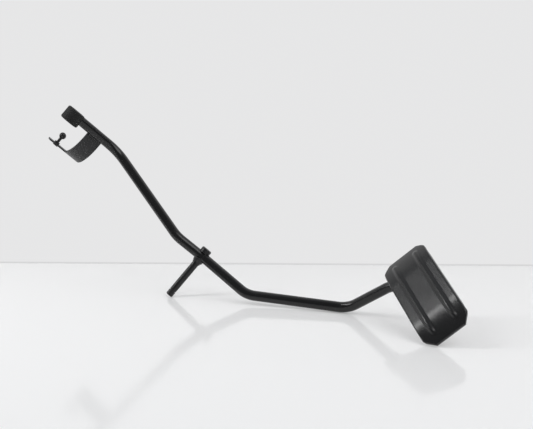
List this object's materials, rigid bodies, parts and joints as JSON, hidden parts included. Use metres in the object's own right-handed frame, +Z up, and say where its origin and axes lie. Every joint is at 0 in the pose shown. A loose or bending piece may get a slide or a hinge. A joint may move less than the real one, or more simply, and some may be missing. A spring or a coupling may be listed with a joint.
{
  "type": "accelerator pedal",
  "caption": "Accelerator pedal: bent round bar with a pressed foot plate, a cross pivot pin, a rubber end buffer and a curved strip with a ball stud.",
  "frame": {"origin": "middle of the bounding box on the floor that the pedal lies on, resting on the pin's end, the heel bend and the foot plate's lower corner", "axes": "+Z up from the floor; +X along the bar from the buffer towards the foot plate, the longest extent; the foot plate's face looks up and towards -X and -Y"},
  "size_m": [0.4233, 0.3093, 0.2075],
  "materials": {
    "black_paint": "satin black paint on steel",
    "black_plating": "smooth black coating on turned steel",
    "black_rubber": "dense black rubber"
  },
  "bodies": {
    "root": {"pedal_rod": "black_paint", "pad_plate": "black_paint", "pivot_pin": "black_plating", "end_buffer": "black_rubber", "link_bracket": "black_paint", "ball_stud": "black_plating"}
  },
  "joints": []
}
